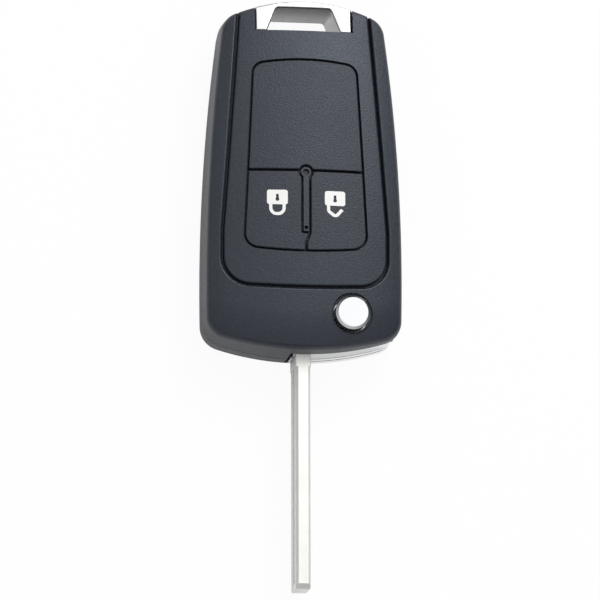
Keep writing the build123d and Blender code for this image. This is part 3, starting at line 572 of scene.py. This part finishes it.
switch_plastic = speckled("switch_plastic", (0.05, 0.05, 0.052), (0.1, 0.1, 0.1), 0.38, 5.0, 0.008)
chip_plastic = speckled("chip_plastic", (0.02, 0.02, 0.021), (0.06, 0.06, 0.06), 0.5, 11.0, 0.01)
part_ceramic = speckled("part_ceramic", (0.42, 0.31, 0.2), (0.6, 0.5, 0.36), 0.35, 9.0, 0.006)
ferrite = speckled("ferrite", (0.06, 0.06, 0.064), (0.15, 0.15, 0.16), 0.52, 7.0, 0.012)
lens_epoxy = speckled(
    "light_lens", (0.86, 0.84, 0.72), (0.75, 0.7, 0.5), 0.16, 3.0, 0.002, Coat_Weight=0.6
)

# %% [markdown]
# Copper winding and the clear light pipe
#
# The aerial's winding is one long enamelled wire in close turns. Seen from outside the turns are
# ridges across the coil, so a wave that runs along the coil's axis gives both the bump and, in the
# colour, painted shade: the copper goes dark in the gaps between the turns.
# The light pipe is clear plastic. It is dull at its end, because a polished end would
# let the status light dazzle; its body lets light through.


# %% Winding and light pipe
def copper_winding():
    """Close turns of enamelled copper wire, wound about the Y axis, with painted shade in the gaps
    between them.
    """
    finish = Finish("copper_wire", Metallic=0.9, Coat_Weight=0.5, Coat_Roughness=0.1)
    turns_and_gap_shade = finish.node(
        "ShaderNodeTexWave",
        {"wave_type": "BANDS", "bands_direction": "Y", "wave_profile": "SIN"},
        {"Vector": place(finish), "Scale": 1.6, "Distortion": 0.25, "Detail": 1.0},
        output="Fac",
    )
    return finish.surface(
        # Painted shade: the copper colour goes dark in the gaps between the turns.
        Base_Color=mix_colours(finish, turns_and_gap_shade, (0.22, 0.08, 0.03), (0.78, 0.38, 0.17)),
        Roughness=0.45 - 0.2 * turns_and_gap_shade,
        Normal=bump(finish, turns_and_gap_shade, 0.08),
    )


def clear_pipe():
    """Clear plastic, dulled by a fine grain all over."""
    finish = Finish("clear_plastic", Transmission_Weight=0.85, IOR=1.49)
    dulling = noise(finish, 9.0, detail=2.0)
    return finish.surface(
        Base_Color=mix_colours(finish, dulling, (0.1, 0.11, 0.13), (0.2, 0.22, 0.24)),
        Roughness=0.18 + 0.2 * dulling,
        Normal=bump(finish, dulling, 0.004),
    )


copper_wire = copper_winding()
clear_plastic = clear_pipe()

# %% [markdown]
# Dressing the pieces
#
# Each piece keeps its own mesh, and only the material in its slot is exchanged. A table
# from finish to pieces is easier to check than the other way round: anyone can see at a
# glance that nothing was forgotten, and the script stops if something was.

# %% Which piece has which finish
WEARS = {
    shell_plastic: ["front_shell", "rear_shell", "battery_cover"],
    face_plastic: ["face_plate", "centre_spine"],
    pad_plastic: ["blank_panel", "lock_button", "unlock_button"],
    sign_white: ["lock_symbol", "unlock_symbol"],
    bright_chrome: ["flip_head", "release_button", "mouth_trim"],
    loop_plating: ["ring_loop"],
    blade_nickel: ["key_blade"],
    pin_steel: ["blade_pin", "pivot_cap", "release_spring"],
    cell_steel: ["coin_cell"],
    contact_nickel: ["cell_clip", "cell_contact"],
    crystal_can: ["crystal"],
    board_green: ["circuit_board"],
    switch_plastic: ["lock_switch", "unlock_switch", "lock_plunger", "unlock_plunger"],
    chip_plastic: ["control_chip"],
    part_ceramic: ["board_small_parts"],
    ferrite: ["coil_core"],
    lens_epoxy: ["status_light"],
    copper_wire: ["aerial_coil"],
    clear_plastic: ["light_pipe"],
}


def dress(piece, material):
    """Puts one material in all of a piece's slots."""
    if not piece.material_slots:
        piece.data.materials.append(material)
    for slot in piece.material_slots:
        slot.material = material


for material, names in WEARS.items():
    for name in names:
        dress(nodes[name], material)
undressed = sorted(set(nodes) - {name for names in WEARS.values() for name in names})
assert not undressed, undressed
print("dressed:", len(nodes), "pieces with", len(WEARS), "finishes")

# %% [markdown]
# The spring under the release button
#
# A small coil spring pushes the release button up. Its foot stands still on the pivot cap while
# its top follows the button, so it can't simply slide down as the button does: it has to be
# pressed together. A CAD solid can't do that here. The spring is wound again in its place and
# attached to the release button's body, so it moves with the button as a whole; how far it would
# have to be pressed is worked out and printed. A curve with a round section is the quickest way to
# a wire. Its end turns lie closer together than the middle ones, as on a real spring that has to
# stand flat. It is turned into a mesh at the end.

# %% The spring's sizes
spring_low, spring_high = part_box("release_spring")
WIRE_RADIUS = mm(0.25)
TURNS = 4
POINTS_PER_TURN = 16
END_CLOSING = 0.11
release_press = next(joint for joint in frame["joints"] if joint["name"] == "release_press")
pressed_share = 1 - release_press["range_m"][1] / (spring_high.z - spring_low.z)
print("spring pressed to", round(pressed_share, 3), "of its height")


# %% Winding the spring
def wound_spring():
    """A round wire wound about the release button's axis, with closed end turns."""
    middle = (spring_low + spring_high) / 2
    coil_radius = (spring_high.x - spring_low.x) / 2 - WIRE_RADIUS
    rise = spring_high.z - spring_low.z - 2 * WIRE_RADIUS
    steps = TURNS * POINTS_PER_TURN
    wire = bpy.data.curves.new("spring_wire", "CURVE")
    wire.dimensions = "3D"
    wire.bevel_depth = WIRE_RADIUS
    wire.bevel_resolution = 3
    wire.use_fill_caps = True
    spline = wire.splines.new("POLY")
    spline.points.add(steps)
    for step, point in enumerate(spline.points):
        angle = 2 * pi * step / POINTS_PER_TURN
        share = step / steps
        height = rise * (share - END_CLOSING * sin(2 * pi * share))
        point.co = (
            middle.x + coil_radius * cos(angle),
            middle.y + coil_radius * sin(angle),
            spring_low.z + WIRE_RADIUS + height,
            1.0,
        )
    drawn = bpy.data.objects.new("spring_wire", wire)
    bpy.context.scene.collection.objects.link(drawn)
    bpy.context.view_layer.update()
    scene_now = bpy.context.evaluated_depsgraph_get()
    mesh = bpy.data.meshes.new_from_object(drawn.evaluated_get(scene_now))
    bpy.data.objects.remove(drawn)
    for face in mesh.polygons:
        face.use_smooth = True
    spring = bpy.data.objects.new("wound_spring", mesh)
    bpy.context.scene.collection.objects.link(spring)
    return spring


spring = wound_spring()
dress(spring, pin_steel)
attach(spring, "release")
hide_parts("release_spring")
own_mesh(spring)
print("spring:", len(spring.data.vertices), "vertices")

# %% [markdown]
# The table top
#
# The key lies on a plain white surface that the picture burns out to pure white. Turning
# up the lamps until that happens would bleach the key as well. Instead the floor glows
# by itself, but only for the camera, and less so for reflections, so that chrome and
# plastic see a white room without being lit by it. What is left of its ordinary shading
# keeps a faint shadow under the key.

# %% Floor
FLOOR_HALF = 1.5
FLOOR_GAP = mm(0.02)
GLOW_FOR_CAMERA = 0.94
GLOW_FOR_REFLECTIONS = 0.3


def table_top():
    """A white floor that glows for the camera and, less, in reflections."""
    finish = Finish("table_white", Roughness=0.8, Specular_IOR_Level=0.1)
    rays = finish.tree.nodes.new("ShaderNodeLightPath")
    seen = Wire(finish, rays.outputs["Is Camera Ray"])
    mirrored = Wire(finish, rays.outputs["Is Glossy Ray"])
    through = Wire(finish, rays.outputs["Is Transmission Ray"])
    share = GLOW_FOR_CAMERA * seen + GLOW_FOR_REFLECTIONS * (mirrored + through)
    glow = finish.node("ShaderNodeEmission", {}, {"Color": colour(1, 1, 1), "Strength": 1.0})
    paper = noise(finish, 0.02, detail=2.0)
    finish.surface(
        Base_Color=mix_colours(finish, paper * 0.3, (0.9, 0.9, 0.9), (0.86, 0.86, 0.86)),
    )
    shaded = Wire(finish, finish.shader.outputs["BSDF"])
    both = finish.node("ShaderNodeMixShader", {}, {0: share, 1: shaded, 2: glow})
    output = finish.tree.nodes["Material Output"]
    finish.tree.links.new(both.socket, output.inputs["Surface"])
    return finish.material


def floor():
    """A flat square under the key."""
    mesh = bpy.data.meshes.new("floor")
    shape = bmesh.new()
    corners = [(-1, -1), (1, -1), (1, 1), (-1, 1)]
    shape.faces.new([shape.verts.new((FLOOR_HALF * x, FLOOR_HALF * y, 0)) for x, y in corners])
    shape.to_mesh(mesh)
    shape.free()
    piece = bpy.data.objects.new("floor", mesh)
    bpy.context.scene.collection.objects.link(piece)
    piece.location.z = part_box("rear_shell")[0].z - FLOOR_GAP
    dress(piece, table_top())
    piece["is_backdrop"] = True
    return piece


print("floor at z =", round(floor().location.z * MM_IN_METRE, 3), "mm")

# %% [markdown]
# The room that the key mirrors
#
# Black satin plastic and chrome show the room more than they show their own colour. In
# the picture every rounded shoulder of the housing is a dark line, though the table is
# white: the shoulders mirror the room near the horizon, which is dark, while the flat
# parts mirror a bright ceiling. So the world is a gradient. Its strength depends on how
# far up a ray points, and goes smoothly from the horizon to the ceiling.
# Only the rays that come straight from the camera find it white.

# %% World
HORIZON = 0.03
CEILING = 0.8
CEILING_STARTS = 0.8
world = bpy.data.worlds.new("studio")
bpy.context.scene.world = world
room = Network(world)
direction = room.node("ShaderNodeTexCoord", output="Generated")
upwards = room.node("ShaderNodeSeparateXYZ", {}, {0: direction}, output=2)
glow = HORIZON + (CEILING - HORIZON) * smooth_step(room, upwards, 0.0, CEILING_STARTS)
seen = room.node("ShaderNodeLightPath", output="Is Camera Ray")
room.feed(room.tree.nodes["Background"].inputs["Strength"], glow + seen * (1 - glow))
room.feed(room.tree.nodes["Background"].inputs["Color"], colour(1, 1, 1))
print("world: horizon", HORIZON, "ceiling", CEILING)

# %% [markdown]
# Two soft lamps
#
# The key's face is brightest at the keyring end and falls off towards the blade. A smaller,
# strong square lamp beyond that end, and a little to the right, does this: the satin
# plastic smears its mirror image over the high half of the face. A wide, weak lamp hangs
# where the flat chrome and the blade's edge mirror it, and lifts them to nearly white.
# A lamp is given by the brightness of its surface, because that is what a mirror shows:
# its power follows from that and from its area, and its size can change on its own.


# %% Lamps
KEY_MIDDLE = Vector((0, 0, 0))


def lamp(name, size_m, radiance, position):
    """A square soft lamp of a given surface brightness, aimed at the key."""
    data = bpy.data.lights.new(name, "AREA")
    data.shape = "SQUARE"
    data.size = size_m
    data.energy = radiance * pi * size_m**2
    piece = bpy.data.objects.new(name, data)
    bpy.context.scene.collection.objects.link(piece)
    piece.location = position
    piece.rotation_euler = (KEY_MIDDLE - Vector(position)).to_track_quat("-Z", "Y").to_euler()
    print("lamp:", name, round(data.energy, 2), "W")


lamp("wide_softbox", 0.5, 0.34, (0.076, 0.12, 0.55))
lamp("far_softbox", 0.3, 6.3, (0.17, 0.36, 0.48))

# %% [markdown]
# Colour management and the last line
#
# The Standard view shows a colour as it is written. The two boxes are written down so
# that a look at them shows whether the dressed key has stayed the size of the model.

# %% Finish
bpy.context.scene.view_settings.view_transform = "Standard"
dressed_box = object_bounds()
grown = [round(MM_IN_METRE * (a - b), 3) for a, b in zip(dressed_box[1], cad_box[1])]
print("grown past the model, in mm:", grown)
